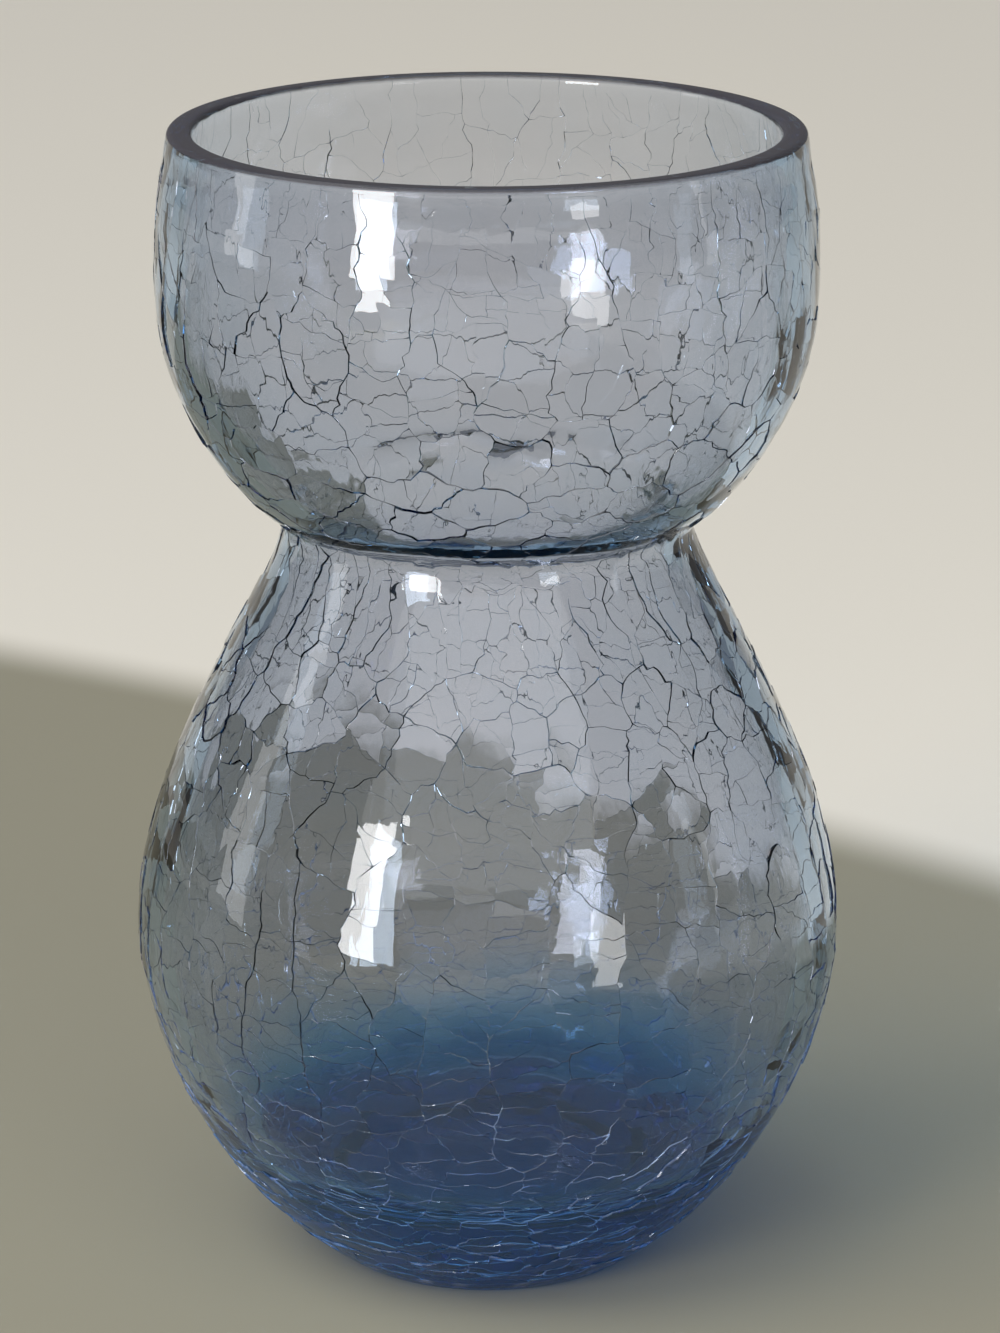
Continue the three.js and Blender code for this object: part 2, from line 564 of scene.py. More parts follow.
    def lay_crack(self, ends, turns, reaches, opening, sideways):
        """Adds the points of a crack between its two ends, and gives back their names."""
        first, second = ends
        self.open[first] = max(self.open[first], opening[0])
        self.open[second] = max(self.open[second], opening[-1])
        draw = self.random.normal()
        slant = np.clip(SLANT * draw * abs(draw), -MOST_SLANT, MOST_SLANT)
        start = len(self.places)
        shares = np.linspace(0, 1, len(turns))[1:-1]
        self.places.extend(zip(turns[1:-1], reaches[1:-1]))
        self.open.extend(opening[1:-1])
        self.slant.extend(tuple(slant * math.sin(math.pi * share) * sideways) for share in shares)
        return list(range(start, len(self.places)))

    def stray(self, shares):
        """Sideways steps of a jagged crack, none at its ends."""
        walk = np.concatenate([[0.0], np.cumsum(self.random.normal(size=len(shares) - 1))])
        bridge = walk - shares * walk[-1]
        return bridge * np.minimum(1, JAG_SETS_IN * shares * (1 - shares)) * JAG * EDGE_STEP

    def opening(self, kind, reaches, shares, climb):
        """How far a crack is open along its way, by the zone it crosses, steady or dying out at one end."""
        draw, dies, side = self.random.uniform(size=3)
        _, heights = self.wall.at(reaches)
        value = np.interp(draw**OPEN_SKEW, (0, 1), OPEN_SPREAD[kind]) * zone(kind, heights)
        if kind == "main":
            upright = zone("upright", heights)
            favour = upright * climb + (1 - upright) * (1 - climb)
            value = value * favour / np.maximum(upright, 1 - upright)
        value = value * np.clip((self.high - reaches) / RIM_FADE, LEAST_AT_RIM, 1)
        sways = shares * len(shares) * EDGE_STEP / OPEN_SWAY_REACH
        value = value * (1 + OPEN_SWAY * np.sin(TURN * (side + sways)))
        if dies < DYING[kind]:
            value = value * (shares if side < 0.5 else 1 - shares)
        return np.where(value < LEAST_OPEN, 0.0, np.minimum(1.0, value))

    def split(self, loop, plate):
        """Parts a piece of glass with side cracks until it is no bigger than the cells there."""
        patch = Patch(self, loop)
        cell = [zone(side, patch.height) for side in ("cell_width", "cell_height")]
        extent = np.ptp(patch.points, axis=0) / cell
        crack = self.side_crack(loop, patch, extent) if extent.max() > SPLIT_OVER else None
        if crack is None:
            self.cells.append((loop, plate))
            return
        first, second, new = crack
        self.split(loop[first : second + 1] + new[::-1], plate)
        self.split(loop[second:] + loop[: first + 1] + new, plate)

    def side_crack(self, loop, patch, extent):
        """Lays a crack across a piece, square to its longer side, between two points of its loop."""
        points = patch.points
        for attempt in range(SPLIT_TRIES):
            lean = self.random.normal() * SPLIT_LEAN + (0 if extent[0] > extent[1] else math.pi / 2)
            away = points @ (math.cos(lean), -math.sin(lean))
            cut = np.interp(self.random.uniform(*SPLIT_SHARE), (0, 1), (away.min(), away.max()))
            crossed = np.flatnonzero((away > cut) != (np.roll(away, -1) > cut))
            if len(crossed) != 2:
                continue
            first, second = crossed[0], crossed[1]
            start, end = points[first], points[second]
            step = end - start
            length = np.linalg.norm(step)
            count = max(2, round(length / EDGE_STEP))
            shares = np.linspace(0, 1, count + 1)
            sideways = np.array([-step[1], step[0]]) / length
            stray = self.stray(shares) * (1 - attempt / SPLIT_TRIES)
            path = start + shares[:, None] * step + stray[:, None] * sideways
            inner = path[1:-1]
            others = np.delete(points, [first, second], axis=0)
            room = nearest(inner, others).min()
            if not inside(points, inner).all() or room < SPLIT_CLEAR * EDGE_STEP:
                continue
            one = np.vstack([points[first : second + 1], inner[::-1]])
            other = np.vstack([points[second:], points[: first + 1], inner])
            if any(triangles_in(part, len(part)) is None for part in (one, other)):
                continue
            places = patch.lift(path)
            opening = self.opening("side", places[:, 1], shares, abs(step[1]) / length)
            ends = (loop[first], loop[second])
            new = self.lay_crack(ends, places[:, 0], places[:, 1], opening, sideways / patch.scale)
            return first, second, new
        return None

    def full_loop(self, loop):
        """All points round a plate, corners and cut edges."""
        points = []
        for first, second in zip(loop, loop[1:] + loop[:1]):
            inner = self.between[min(first, second), max(first, second)]
            points.append(first)
            points.extend(inner if first < second else reversed(inner))
        return points

    def end_points(self, level):
        """Points on an end line of the net, in order round the vase."""
        used = {point for loop in self.loops for point in self.full_loop(loop)}
        found = [point for point in used if abs(self.level[point] - level) < KEY_NEAR]
        return sorted(found, key=lambda point: self.places[point][0] % TURN)


class FlatMesh:
    """Points and faces of the unrolled glass, with what each point adds to the wall line."""

    def __init__(self, plan):
        self.plan = plan
        self.places = []
        self.sunk, self.domed, self.tilted, self.slopes = [], [], [], []
        self.faces, self.groove = [], []
        self.bottoms = {}
        for names, plate in plan.cells:
            self.lay_cell(names, plate)
        self.lay_rows(plan.plates.top, plan.high, plan.wall.reach[-1])
        self.lay_rows(0.0, plan.low, 0.0)

    def point(self, place, sunk=0.0, domed=0.0, tilted=0.0, slope=(0.0, 0.0)):
        self.places.append(place)
        self.sunk.append(sunk)
        self.domed.append(domed)
        self.tilted.append(tilted)
        self.slopes.append(slope)
        return len(self.places) - 1

    def face(self, corners, groove=False):
        self.faces.append(corners)
        self.groove.append(groove)

    def band(self, lower, upper, groove=False):
        """Faces between two rings of points that run the same way."""
        for i, j in zip(range(-1, len(lower) - 1), range(len(lower))):
            self.face((lower[i], lower[j], upper[j], upper[i]), groove)

    def fan(self, ring, middle):
        for i, j in zip(range(-1, len(ring) - 1), range(len(ring))):
            self.face((ring[i], ring[j], middle))

    def crack_bottom(self, name):
        if name not in self.bottoms:
            plan = self.plan
            place = np.array(plan.places[name]) + np.array(plan.slant[name]) * plan.open[name]
            self.bottoms[name] = self.point(place, sunk=plan.open[name])
        return self.bottoms[name]

    def lay_cell(self, names, plate):
        """One cell: the crack bottom round it, its lip, and the glass between."""
        plan = self.plan
        patch = Patch(plan, names)
        opening = np.array([plan.open[name] for name in names])
        width = plan.settings.crack_width / 2 * (CLOSED_WIDTH + (1 - CLOSED_WIDTH) * opening)
        step = inward(patch.points) * width[:, None]
        filled = (fill(patch.points + step * share) for share in LIP_SHARES)
        points, triangles = next(found for found in filled if found)

        middle = patch.points.mean(0)
        half = np.array([zone("plate_width", patch.height), zone("plate_height", patch.height)]) / 2
        plate_middle = patch.lay(np.array([plan.places[name] for name in plan.loops[plate]])).mean(0)
        plate_tilt = plan.tilts[plate] / half
        cell_tilt = plan.random.normal(size=2) * CELL_TILT_SHARE / np.ptp(patch.points, axis=0)
        tilts = (points - plate_middle) @ plate_tilt + (points - middle) @ cell_tilt
        sunk = np.zeros(len(points))
        sunk[: len(names)] = LIP_DROP * opening
        domed = np.ones(len(points))
        domed[: len(names)] = 0.0
        slopes = [plate_tilt + cell_tilt] * len(points)
        made = [self.point(*values) for values in zip(patch.lift(points), sunk, domed, tilts, slopes)]
        self.band([self.crack_bottom(name) for name in names], made[: len(names)], groove=True)
        for triangle in triangles:
            self.face([made[corner] for corner in triangle])

    def lay_rows(self, level, start, stop):
        """Plain rows from an end of the net to the axis: over the rim to the floor, or under the foot."""
        plan = self.plan
        names = plan.end_points(level)
        onward = start < stop
        last = [self.bottoms[name] for name in names]
        for reach in plan.wall.rows(start, stop):
            row = [self.point((plan.places[name][0], reach)) for name in names]
            self.band(*((last, row) if onward else (row, last)))
            last = row
        self.fan(last if onward else last[::-1], self.point((0.0, stop)))

    def plan_object(self, name):
        """The plan as a flat mesh, with its columns as attributes."""
        plan = self.plan
        places = np.array(self.places)
        reach = places[:, 1]
        from_rim = abs(reach - plan.wall.reach[plan.wall.rim])
        net = np.clip(np.minimum(reach - plan.low, plan.high - reach) / NET_FADE, 0, 1)
        ripples = np.clip(np.minimum(reach - plan.low, from_rim - RIM_REACH) / RIPPLE_FADE, 0, 1)
        slopes = np.clip(self.slopes, -MOST_SLOPE, MOST_SLOPE) * net[:, None]
        columns = {
            "sunk": self.sunk,
            "domed": self.domed,
            "tilted": np.clip(self.tilted, -MOST_TILT, MOST_TILT) * net,
            "slope_across": slopes[:, 0],
            "slope_up": slopes[:, 1],
            "net": net,
            "ripples": ripples,
        }
        mesh = bpy.data.meshes.new(name)
        mesh.from_pydata(np.column_stack([places, np.zeros(len(places))]).tolist(), [], self.faces)
        for title, values in columns.items():
            column = mesh.attributes.new(title, "FLOAT", "POINT")
            column.data.foreach_set("value", np.array(values, np.float32))
        groove = mesh.attributes.new("groove", "BOOLEAN", "FACE")
        groove.data.foreach_set("value", self.groove)
        mesh.shade_smooth()
        result = bpy.data.objects.new(name, mesh)
        bpy.context.scene.collection.objects.link(result)
        return result


class Value:
    """A node's output that Python's operators work on. Each operator adds one Math node."""

    def __init__(self, graph, socket):
        self.graph = graph
        self.socket = socket

    def __add__(self, other):
        return self.graph.math("ADD", self, other)

    def __radd__(self, other):
        return self.graph.math("ADD", other, self)

    def __sub__(self, other):
        return self.graph.math("SUBTRACT", self, other)

    def __rsub__(self, other):
        return self.graph.math("SUBTRACT", other, self)

    def __mul__(self, other):
        return self.graph.math("MULTIPLY", self, other)

    def __rmul__(self, other):
        return self.graph.math("MULTIPLY", other, self)

    def __truediv__(self, other):
        return self.graph.math("DIVIDE", self, other)

    def __rtruediv__(self, other):
        return self.graph.math("DIVIDE", other, self)


class Outputs:
    """Outputs of one node, by name or by number."""

    def __init__(self, graph, node):
        self.graph = graph
        self.node = node

    def __getitem__(self, name):
        return Value(self.graph, self.graph.find(self.node.outputs, name))


class Graph:
    """Node tree under construction."""

    def __init__(self, tree):
        self.tree = tree
        tree.nodes.clear()

    @staticmethod
    def find(sockets, name):
        if isinstance(name, int):
            return sockets[name]
        return next(socket for socket in sockets if socket.name == name and socket.enabled)

    def add(self, kind, settings=None, values=None):
        """Adds a node, sets it up, then gives its sockets their values or links."""
        node = self.tree.nodes.new(kind)
        for name, setting in (settings or {}).items():
            setattr(node, name, setting)
        for name, value in (values or {}).items():
            socket = self.find(node.inputs, name)
            if isinstance(value, Value):
                self.tree.links.new(value.socket, socket)
            else:
                socket.default_value = value
        return Outputs(self, node)

    def math(self, operation, *operands):
        return self.add("ShaderNodeMath", {"operation": operation}, dict(enumerate(operands)))[0]

    def rise(self, value, low, high):
        """Smooth step from 0 at low to 1 at high."""
        spread = {"Value": value, "From Min": low, "From Max": high}
        return self.add("ShaderNodeMapRange", {"interpolation_type": "SMOOTHSTEP"}, spread)["Result"]

    def blend(self, share, first, second):
        """Colour between two others."""
        values = {"Factor": share, "A": first, "B": second}
        return self.add("ShaderNodeMix", {"data_type": "RGBA"}, values)["Result"]


class WrapTree:
    """Geometry Nodes tree that wraps the flat plan on the wall line and opens the cracks."""

    INPUTS = (
        ("Wall line", "NodeSocketObject"),
        ("Crack depth", "NodeSocketFloat"),
        ("Cell dome", "NodeSocketFloat"),
        ("Plate tilt", "NodeSocketFloat"),
        ("Wander", "NodeSocketFloat"),
        ("Wander size", "NodeSocketFloat"),
        ("Ripple", "NodeSocketFloat"),
        ("Ripple size", "NodeSocketFloat"),
        ("Widest", "NodeSocketFloat"),
        ("Seed", "NodeSocketFloat"),
        ("Glass", "NodeSocketMaterial"),
    )

    def __init__(self):
        self.tree = bpy.data.node_groups.new("wrap_crackle", "GeometryNodeTree")
        self.graph = Graph(self.tree)
        self.sockets = {}
        self.tree.interface.new_socket("Plan", in_out="INPUT", socket_type="NodeSocketGeometry")
        for name, kind in self.INPUTS:
            socket = self.tree.interface.new_socket(name, in_out="INPUT", socket_type=kind)
            self.sockets[name] = socket.identifier
        self.tree.interface.new_socket("Vase", in_out="OUTPUT", socket_type="NodeSocketGeometry")
        self.build()

    def column(self, name, kind="FLOAT"):
        made = self.graph.add("GeometryNodeInputNamedAttribute", {"data_type": kind}, {"Name": name})
        return made["Attribute"]

    def on_wall(self, line, reach):
        """Radius and height of the wall line at a reach, and the outward way there."""
        made = self.graph.add(
            "GeometryNodeSampleCurve", {"mode": "LENGTH"}, {"Curves": line, "Length": reach}
        )
        place = self.graph.add("ShaderNodeSeparateXYZ", values={0: made["Position"]})
        way = self.graph.add("ShaderNodeSeparateXYZ", values={0: made["Tangent"]})
        return place["X"], place["Z"], way["Z"], -1.0 * way["X"]

    def round_axis(self, turn, radius, height):
        across = radius * self.graph.math("COSINE", turn)
        along = radius * self.graph.math("SINE", turn)
        return self.graph.add("ShaderNodeCombineXYZ", values={0: across, 1: along, 2: height})[0]

    def noise(self, place, size, seed, stretch=(1.0, 1.0, 1.0)):
        """Three noises of about minus to plus a half."""
        settings = {"noise_dimensions": "4D"}
        drawn = self.graph.add("ShaderNodeVectorMath", {"operation": "MULTIPLY"}, {0: place, 1: stretch})
        values = {"Vector": drawn["Vector"], "W": seed, "Scale": 1.0 / size, "Detail": 1.0}
        made = self.graph.add("ShaderNodeTexNoise", settings, values)
        parts = self.graph.add("ShaderNodeSeparateXYZ", values={0: made["Color"]})
        return [parts[axis] - 0.5 for axis in "XYZ"]

    def ripple_slope(self, given, place, swell, step):
        """How fast the ripples rise along a step of length SLOPE_STEP."""
        beyond = self.graph.add("ShaderNodeVectorMath", {"operation": "ADD"}, {0: place, 1: step})
        seed = given["Seed"] + RIPPLE_SEED
        further, _, _ = self.noise(beyond["Vector"], given["Ripple size"], seed, RIPPLE_STRETCH)
        return (further - swell) * given["Ripple"] * self.column("ripples") / SLOPE_STEP

    def true_slope(self, given, turn, out, rise, place, swell):
        """Outward way of the glass with its ripples and tilts, for the shading."""
        cosine, sine = self.graph.math("COSINE", turn), self.graph.math("SINE", turn)
        values = {0: -SLOPE_STEP * sine, 1: SLOPE_STEP * cosine, 2: 0.0}
        across = self.graph.add("ShaderNodeCombineXYZ", values=values)[0]
        up = self.round_axis(turn, -SLOPE_STEP * rise, SLOPE_STEP * out)
        across_slope = self.ripple_slope(given, place, swell, across)
        across_slope = across_slope + self.column("slope_across") * given["Plate tilt"]
        up_slope = self.ripple_slope(given, place, swell, up)
        up_slope = up_slope + self.column("slope_up") * given["Plate tilt"]
        away, height = out + up_slope * rise, rise - up_slope * out
        values = {0: away * cosine + across_slope * sine, 1: away * sine - across_slope * cosine, 2: height}
        return self.graph.add("ShaderNodeCombineXYZ", values=values)[0]

    def build(self):
        graph = self.graph
        given = graph.add("NodeGroupInput")
        line = graph.add("GeometryNodeObjectInfo", values={"Object": given["Wall line"]})["Geometry"]
        flat = graph.add("ShaderNodeSeparateXYZ", values={0: graph.add("GeometryNodeInputPosition")[0]})
        turn, reach = flat["X"], flat["Y"]

        radius, height, _, _ = self.on_wall(line, reach)
        place = self.round_axis(turn, radius, height)
        across, up, _ = self.noise(place, given["Wander size"], given["Seed"])
        sway = given["Wander"] * self.column("net")
        turn = turn + across * sway / (radius + AXIS_ROOM)
        reach = reach + up * sway

        radius, height, out, rise = self.on_wall(line, reach)
        place = self.round_axis(turn, radius, height)
        seed = given["Seed"] + RIPPLE_SEED
        swell, _, _ = self.noise(place, given["Ripple size"], seed, RIPPLE_STRETCH)
        proud = (
            self.column("domed") * given["Cell dome"]
            + self.column("tilted") * given["Plate tilt"]
            + swell * given["Ripple"] * self.column("ripples")
            - self.column("ripples") * given["Ripple"] * RIPPLE_SINK
            - self.column("sunk") * given["Crack depth"]
        )
        slope = self.true_slope(given, turn, out, rise, place, swell)
        radius = graph.math("MINIMUM", radius + out * proud, given["Widest"])
        place = self.round_axis(turn, radius, height + rise * proud)

        shading = {"Geometry": given["Plan"], "Name": "true_slope", "Value": slope}
        plan = graph.add("GeometryNodeStoreNamedAttribute", {"data_type": "FLOAT_VECTOR"}, shading)
        placed = {"Geometry": plan["Geometry"], "Position": place}
        vase = graph.add("GeometryNodeSetPosition", values=placed)
        flat_faces = {"Selection": self.column("groove", "BOOLEAN"), "Shade Smooth": False}
        vase = graph.add("GeometryNodeSetShadeSmooth", values={"Geometry": vase["Geometry"], **flat_faces})
        vase = graph.add("GeometryNodeRealizeInstances", values={"Geometry": vase["Geometry"]})
        glass = {"Geometry": vase["Geometry"], "Material": given["Glass"]}
        vase = graph.add("GeometryNodeSetMaterial", values=glass)
        graph.add("NodeGroupOutput", values={"Vase": vase["Geometry"]})

    def wrap(self, plan, values):
        """Runs the tree on a plan object and gives back the plain mesh that it makes."""
        modifier = plan.modifiers.new("wrap", "NODES")
        modifier.node_group = self.tree
        for name, value in values.items():
            modifier[self.sockets[name]] = value
        shown = plan.evaluated_get(bpy.context.evaluated_depsgraph_get())
        mesh = bpy.data.meshes.new_from_object(shown)
        plan.modifiers.remove(modifier)
        return mesh


def check_closed(mesh):
    """Stops the build if an edge of the mesh doesn't lie between exactly two faces."""
    solid = bmesh.new()
    solid.from_mesh(mesh)
    loose = sum(len(edge.link_faces) != 2 for edge in solid.edges)
    solid.free()
    if loose:
        raise RuntimeError(f"the glass isn't closed: {loose} edges don't lie between two faces")


def shade_by_slope(mesh):
    """Shades all faces but the sides of the cracks by the true slope of the glass, not by their own."""
    corners = np.empty(len(mesh.loops), np.int32)
    mesh.loops.foreach_get("vertex_index", corners)
    slopes = np.empty(3 * len(mesh.vertices), np.float32)
    mesh.attributes["true_slope"].data.foreach_get("vector", slopes)
    counts = np.empty(len(mesh.polygons), np.int32)
    mesh.polygons.foreach_get("loop_total", counts)
    groove = np.empty(len(mesh.polygons), bool)
    mesh.attributes["groove"].data.foreach_get("value", groove)
    shading = slopes.reshape(-1, 3)[corners]
    shading[np.repeat(groove, counts)] = 0.0
    mesh.normals_split_custom_set(shading.tolist())


def opaque(colour):
    return (*colour, 1.0)


def crackle_glass(look):
    """Blue through its thickness, clear and polished between the cracks, dull down in them and darkened
    there by painted shade. Painted shade also darkens the cut of the rim, and a painted reflection makes
    the cracks of the base pale.
    """
    material = bpy.data.materials.new(SLOT)
    material.use_nodes = True
    graph = Graph(material.node_tree)
    place = graph.add("ShaderNodeTexCoord")["Object"]
    height = graph.add("ShaderNodeSeparateXYZ", values={0: place})["Z"]
    crack = graph.add("ShaderNodeAttribute", {"attribute_name": "sunk"})["Fac"]

    off_foot = graph.rise(height, *FOOT_TINT)
    colour = graph.blend(off_foot, opaque(look.foot_colour), opaque(look.clear))
    # Painted shade: a greyer tint darkens the light through the open cracks
    colour = graph.blend(crack, colour, opaque(look.crack_painted_shade))
    roughness = look.polish + crack * (look.crack_roughness - look.polish)

    drawn = graph.add("ShaderNodeMapping", values={"Vector": place, "Scale": WAVE_STRETCH})[0]
    waves = {"Vector": drawn, "Scale": 1 / look.wave_size, "Detail": 1.0}
    wave = graph.add("ShaderNodeTexNoise", values=waves)[0]
    bump = graph.add("ShaderNodeBump", values={"Strength": 1.0, "Distance": look.wave, "Height": wave})
    glass = graph.add(
        "ShaderNodeBsdfPrincipled",
        values={
            "Base Color": colour,
            "Roughness": roughness,
            "Normal": bump["Normal"],
            "IOR": look.index,
            "Transmission Weight": 1.0,
        },
    )
    base = 1.0 - graph.rise(height, *BASE_BODY)
    # Low glass whose cracks get a pale matt coat of painted reflection
    low = 1.0 - graph.rise(height, *PAINTED_REFLECTION_HEIGHTS)
    coats = (
        (base * (1.0 - crack) * look.base_share, look.base_colour),
        # Painted reflection: a pale matt coat down in the cracks of the base
        (low * crack * look.base_crack_reflection_share, look.base_crack_painted_reflection),
        # Painted shade: a dark matt coat over the cut of the rim
        (graph.rise(height, *RIM_PAINTED_SHADE) * look.rim_shade_share, look.rim_painted_shade),
    )
    body = glass["BSDF"]
    for share, tint in coats:
        dull = graph.add("ShaderNodeBsdfDiffuse", values={"Color": opaque(tint)})["BSDF"]
        body = graph.add("ShaderNodeMixShader", values={0: share, 1: body, 2: dull})[0]
    thick = graph.add("ShaderNodeBsdfTransparent", values={"Color": opaque(look.foot_shade)})["BSDF"]
    thin = graph.add("ShaderNodeBsdfTransparent", values={"Color": opaque(look.shade)})["BSDF"]
    share = graph.rise(height, *FOOT_SHADE)
    light_through = graph.add("ShaderNodeMixShader", values={0: share, 1: thick, 2: thin})
    is_shadow = graph.add("ShaderNodeLightPath")["Is Shadow Ray"]
    surface = graph.add("ShaderNodeMixShader", values={0: is_shadow, 1: body, 2: light_through[0]})
    depth = {"Color": opaque(look.depth_colour), "Density": look.depth_density}
    volume = graph.add("ShaderNodeVolumeAbsorption", values=depth)
    graph.add("ShaderNodeOutputMaterial", values={"Surface": surface[0], "Volume": volume["Volume"]})
    return material


def studio_floor(studio):
    """Pale floor, darker on a wide disc that the vase stands near the edge of."""
    material = bpy.data.materials.new("studio_floor")
    material.use_nodes = True
    graph = Graph(material.node_tree)
    place = graph.add("ShaderNodeTexCoord")["Object"]
    ends = {0: place, 1: FLOOR_MIDDLE}
    away = graph.add("ShaderNodeVectorMath", {"operation": "DISTANCE"}, ends)["Value"]
    share = graph.rise(away, studio.near_reach, studio.far_reach)
    colour = graph.blend(share, opaque(studio.near_colour), opaque(studio.far_colour))
    finish = {"Base Color": colour, "Roughness": FLOOR_ROUGHNESS}
    matt = graph.add("ShaderNodeBsdfPrincipled", values=finish)
    graph.add("ShaderNodeOutputMaterial", values={"Surface": matt["BSDF"]})
    return material


def aim(thing, target):
    thing.rotation_euler = (Vector(target) - thing.location).to_track_quat("-Z", "Y").to_euler()


def length_setting(name, description, default):
    return FloatProperty(name=name, description=description, default=default, unit="LENGTH")


def colour_setting(name, description, default):
    return FloatVectorProperty(name=name, description=description, default=default, subtype="COLOR")


def share_setting(name, description, default):
    return FloatProperty(name=name, description=description, default=default, subtype="FACTOR")


class CrackleSettings(bpy.types.PropertyGroup):
    """Crack net in the outside of the glass."""

    seed: IntProperty(name="Seed", description="Draws another net of cracks", default=7, min=0)
    crack_width: length_setting("Crack width", "Width of a fully open crack at the surface", 0.00020)
    crack_depth: length_setting("Crack depth", "Depth of a fully open crack", 0.00045)
    cell_dome: length_setting("Cell dome", "How far the middle of a cell stands above its edge", 0.00002)
    plate_tilt: length_setting(
        "Plate tilt",
        "Usual rise of the edge of a plate of glass above the wall, or its drop",
        0.00011,
    )
    wander: length_setting("Wander", "How far cracks stray from straight lines", 0.0030)
    wander_size: length_setting("Wander size", "Length over which a crack strays to and fro", 0.009)
    ripple: length_setting("Ripple", "Height of the blown ripples of both sides", 0.00030)
    ripple_size: length_setting("Ripple size", "Length of the blown ripples", 0.008)


class GlassSettings(bpy.types.PropertyGroup):
    """Finish of the glass, with the painted shade and painted reflection laid on it."""

    clear: colour_setting(
        "Clear glass",
        "Colour of the light through one face of the glass",
        (0.995, 0.895, 0.893),
    )
    foot_colour: colour_setting(
        "Foot",
        "Colour of the light through one face of the thick base",
        (0.20, 0.70, 1.0),
    )
    # Painted shade: the greyer tint that darkens the light through the open cracks
    crack_painted_shade: colour_setting("Crack", "Colour down in a fully open crack", (0.62, 0.66, 0.75))
    base_colour: colour_setting("Base", "Colour of the body of the thick base", (0.0, 0.135, 0.24))
    base_share: share_setting(
        "Base share",
        "How far the body of the thick base hides what lies behind it",
        0.17,
    )
    # Painted reflection: the pale matt coat in the cracks of the base, and how far it fills them
    base_crack_painted_reflection: colour_setting(
        "Base cracks",
        "Pale colour down in the cracks of the base",
        (0.55, 0.65, 0.85),
    )
    base_crack_reflection_share: share_setting(
        "Base crack share",
        "How far the pale colour fills a fully open crack of the base",
        0.6,
    )
    # Painted shade: the dark matt coat on the cut of the rim, and how far it covers the glass
    rim_painted_shade: colour_setting("Rim", "Dull colour of the cut of the rim", (0.08, 0.075, 0.09))
    rim_shade_share: share_setting(
        "Rim share",
        "How far the dull colour hides the glass at the cut of the rim",
        0.58,
    )
    depth_colour: colour_setting("Depth colour", "Colour that deep glass tends to", (0.085, 0.525, 0.82))
    depth_density: FloatProperty(
        name="Depth density",
        description="How fast glass takes on its depth colour, for each metre",
        default=100.0,
    )
    shade: colour_setting(
        "Shade",
        "Colour of the light that the vase lets through on the floor",
        (0.93, 0.935, 0.945),
    )
    foot_shade: colour_setting(
        "Foot shade",
        "Colour of the light that the thick base lets through on the floor",
        (0.40, 0.50, 0.68),
    )
    index: FloatProperty(name="Index", description="Index of refraction", default=1.5)
    polish: share_setting("Polish", "Roughness of the fire polished faces", 0.015)
    crack_roughness: share_setting("Crack roughness", "Roughness down in a fully open crack", 0.15)
    wave: length_setting("Wave", "Height of the fine waves in the polish", 0.00001)
    wave_size: length_setting("Wave size", "Width of the fine waves in the polish", 0.0013)


class StudioSettings(bpy.types.PropertyGroup):
    """Floor, light and camera."""

    floor_radius: length_setting("Floor", "Radius of the floor", 4.0)
    near_reach: length_setting("Near floor", "Reach of the darker part of the floor", 1.007)
    far_reach: length_setting("Far floor", "Reach at which the floor is palest", 1.031)
    near_colour: colour_setting("Near colour", "Colour of the floor round the vase", (0.315, 0.298, 0.226))
    far_colour: colour_setting("Far colour", "Colour of the floor further off", (0.86, 0.82, 0.73))
    sun: FloatProperty(name="Sun", description="Strength of the soft light from above", default=1.55)
    sky: FloatProperty(name="Sky", description="Strength of the even light all round", default=0.22)
    soft_box: FloatProperty(
        name="Soft boxes",
        description="Brightness of the soft boxes that the glass mirrors",
        default=14.0,
    )
    camera_lens: FloatProperty(
        name="Lens",
        description="Focal length for the long side of the picture",
        default=130.47,
        unit="CAMERA",
    )


class BULBVASE_OT_blow_glass(bpy.types.Operator):
    """Blow the vase: one closed body of crackle glass on the CAD wall line"""

    bl_idname = "bulb_vase.blow_glass"
    bl_label = "Blow the glass"

    def execute(self, context):
        settings = context.scene.crackle
        wall = WallLine(half_section(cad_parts[NODE]))
        plan = FlatMesh(CrackPlan(wall, settings)).plan_object("crackle_plan")
        line = wall.curve_object("wall_line")
        values = {
            "Wall line": line,
            "Crack depth": settings.crack_depth,
            "Cell dome": settings.cell_dome,
            "Plate tilt": settings.plate_tilt,
            "Wander": settings.wander,
            "Wander size": settings.wander_size,
            "Ripple": settings.ripple,
            "Ripple size": settings.ripple_size,
            "Widest": RIM.x,
            "Seed": float(settings.seed),
            "Glass": crackle_glass(context.scene.blue_glass),
        }
        mesh = WrapTree().wrap(plan, values)
        check_closed(mesh)
        shade_by_slope(mesh)
        for helper in (plan, line):
            bpy.data.objects.remove(helper)
        vase = bpy.data.objects.new("vase_glass", mesh)
        context.scene.collection.objects.link(vase)
        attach(vase, BODY)
        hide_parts(NODE)
        return {"FINISHED"}


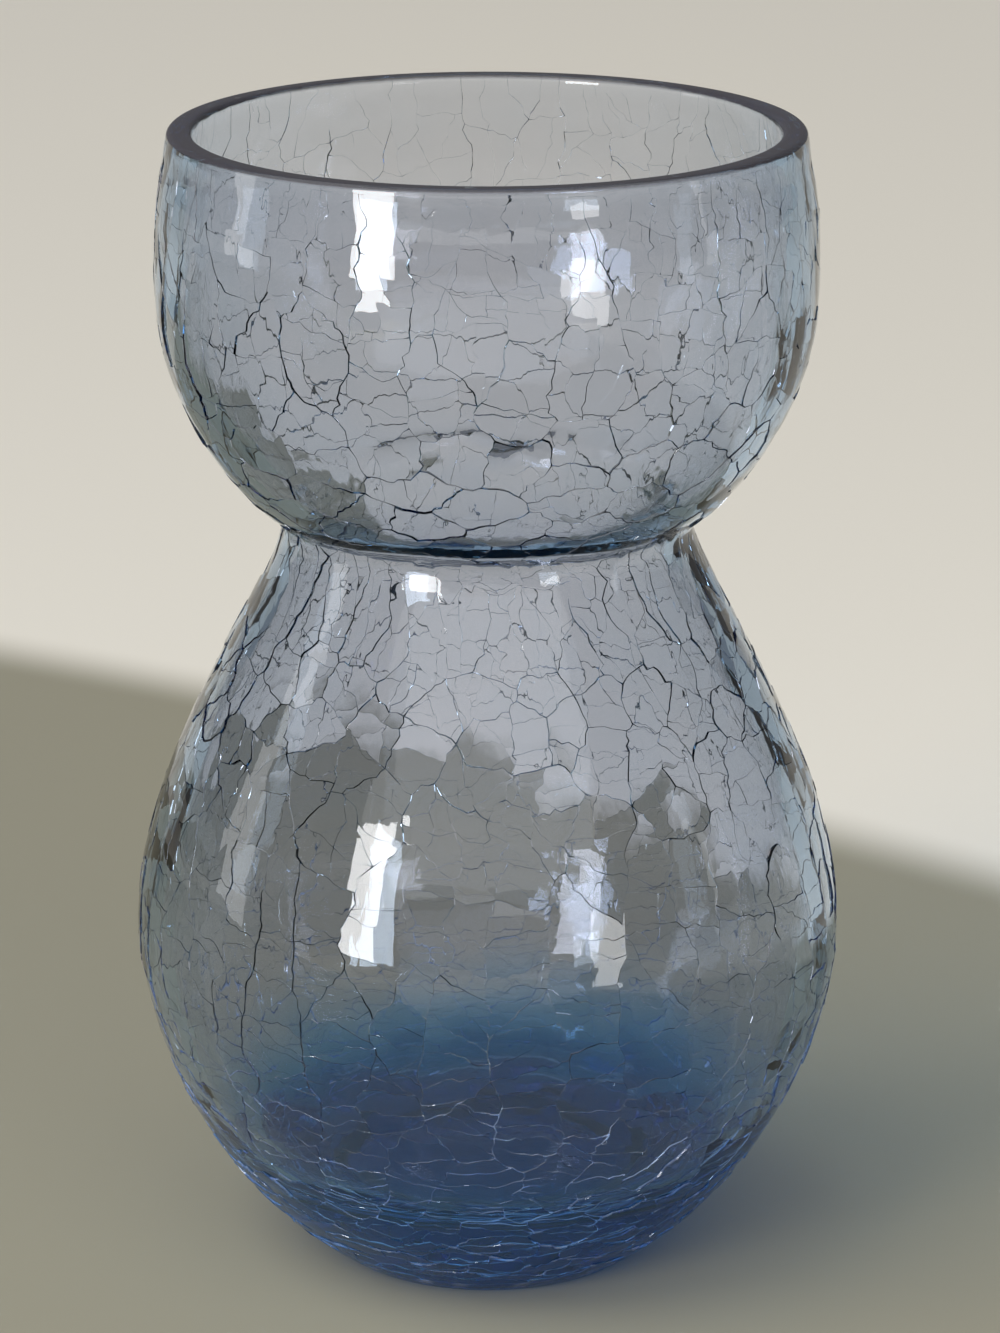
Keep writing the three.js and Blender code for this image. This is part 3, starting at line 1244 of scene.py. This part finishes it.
class BULBVASE_OT_set_studio(bpy.types.Operator):
    """Set up the floor, the light and the camera"""

    bl_idname = "bulb_vase.set_studio"
    bl_label = "Set up the studio"

    def execute(self, context):
        studio = context.scene.vase_studio
        self.lay_floor(context, studio)
        self.hang_sun(context, studio)
        for box in SOFT_BOXES:
            self.hang_soft_box(context, studio, *box)
        middle = (0.0, 0.0, HEIGHT / 2)
        brightness = studio.soft_box * PANEL_SHARE
        self.hang_light(context, "panel", PANEL_PLACE, middle, PANEL_SIDES, brightness)
        self.light_sky(context, studio)
        self.set_camera(context, studio)
        context.scene.view_settings.view_transform = "Standard"
        return {"FINISHED"}

    def place(self, context, name, data):
        thing = bpy.data.objects.new(name, data)
        context.scene.collection.objects.link(thing)
        return thing

    def lay_floor(self, context, studio):
        mesh = bpy.data.meshes.new("studio_floor")
        disc = bmesh.new()
        bmesh.ops.create_circle(disc, cap_ends=True, segments=FLOOR_FACETS, radius=studio.floor_radius)
        disc.to_mesh(mesh)
        disc.free()
        mesh.materials.append(studio_floor(studio))
        self.place(context, "studio_floor", mesh)

    def hang_sun(self, context, studio):
        light = bpy.data.lights.new("soft_sun", "SUN")
        light.energy = studio.sun
        light.angle = SUN_SPREAD
        sun = self.place(context, "soft_sun", light)
        sun.location = SUN_PLACE
        aim(sun, (0.0, 0.0, 0.0))
        sun.visible_glossy = False
        sun.visible_transmission = False

    def hang_soft_box(self, context, studio, bearing, distance, low, high, width, share):
        level = (low + high) / 2
        place = (math.sin(bearing) * distance, -math.cos(bearing) * distance, level)
        sides = (width, high - low)
        self.hang_light(context, "soft_box", place, (0.0, 0.0, level), sides, studio.soft_box * share)

    def hang_light(self, context, name, place, target, sides, brightness):
        light = bpy.data.lights.new(name, "AREA")
        light.shape = "RECTANGLE"
        light.size, light.size_y = sides
        light.energy = brightness * math.pi * sides[0] * sides[1]
        lamp = self.place(context, name, light)
        lamp.location = place
        aim(lamp, target)
        lamp.visible_camera = False

    def light_sky(self, context, studio):
        world = bpy.data.worlds.new("studio_sky")
        world.use_nodes = True
        graph = Graph(world.node_tree)
        even = {"Color": opaque((1.0, 1.0, 1.0)), "Strength": studio.sky}
        sky = graph.add("ShaderNodeBackground", values=even)
        graph.add("ShaderNodeOutputWorld", values={"Surface": sky["Background"]})
        context.scene.world = world

    def set_camera(self, context, studio):
        lens = bpy.data.cameras.new("camera")
        lens.lens = studio.camera_lens
        camera = self.place(context, "camera", lens)
        across = CAMERA_STEP * HEIGHT
        camera.location = (across, -CAMERA_DISTANCE * HEIGHT, CAMERA_LEVEL * HEIGHT)
        aim(camera, (across, 0.0, CAMERA_AIM * HEIGHT))
        context.scene.camera = camera


class BULBVASE_PT_panel(bpy.types.Panel):
    """Sidebar panel with the sizes, the colours and the two steps"""

    bl_idname = "BULBVASE_PT_panel"
    bl_label = "Bulb vase"
    bl_space_type = "VIEW_3D"
    bl_region_type = "UI"
    bl_category = "Bulb vase"

    def draw(self, context):
        scene = context.scene
        for group in (scene.crackle, scene.blue_glass, scene.vase_studio):
            for name in group.__annotations__:
                self.layout.prop(group, name)
        self.layout.operator(BULBVASE_OT_blow_glass.bl_idname)
        self.layout.operator(BULBVASE_OT_set_studio.bl_idname)


CLASSES = (
    CrackleSettings,
    GlassSettings,
    StudioSettings,
    BULBVASE_OT_blow_glass,
    BULBVASE_OT_set_studio,
    BULBVASE_PT_panel,
)


def register():
    for cls in CLASSES:
        bpy.utils.register_class(cls)
    bpy.types.Scene.crackle = PointerProperty(type=CrackleSettings)
    bpy.types.Scene.blue_glass = PointerProperty(type=GlassSettings)
    bpy.types.Scene.vase_studio = PointerProperty(type=StudioSettings)


def unregister():
    del bpy.types.Scene.vase_studio
    del bpy.types.Scene.blue_glass
    del bpy.types.Scene.crackle
    for cls in reversed(CLASSES):
        bpy.utils.unregister_class(cls)


def main():
    register()
    bpy.ops.bulb_vase.set_studio()
    bpy.ops.bulb_vase.blow_glass()


if __name__ == "__main__":
    main()
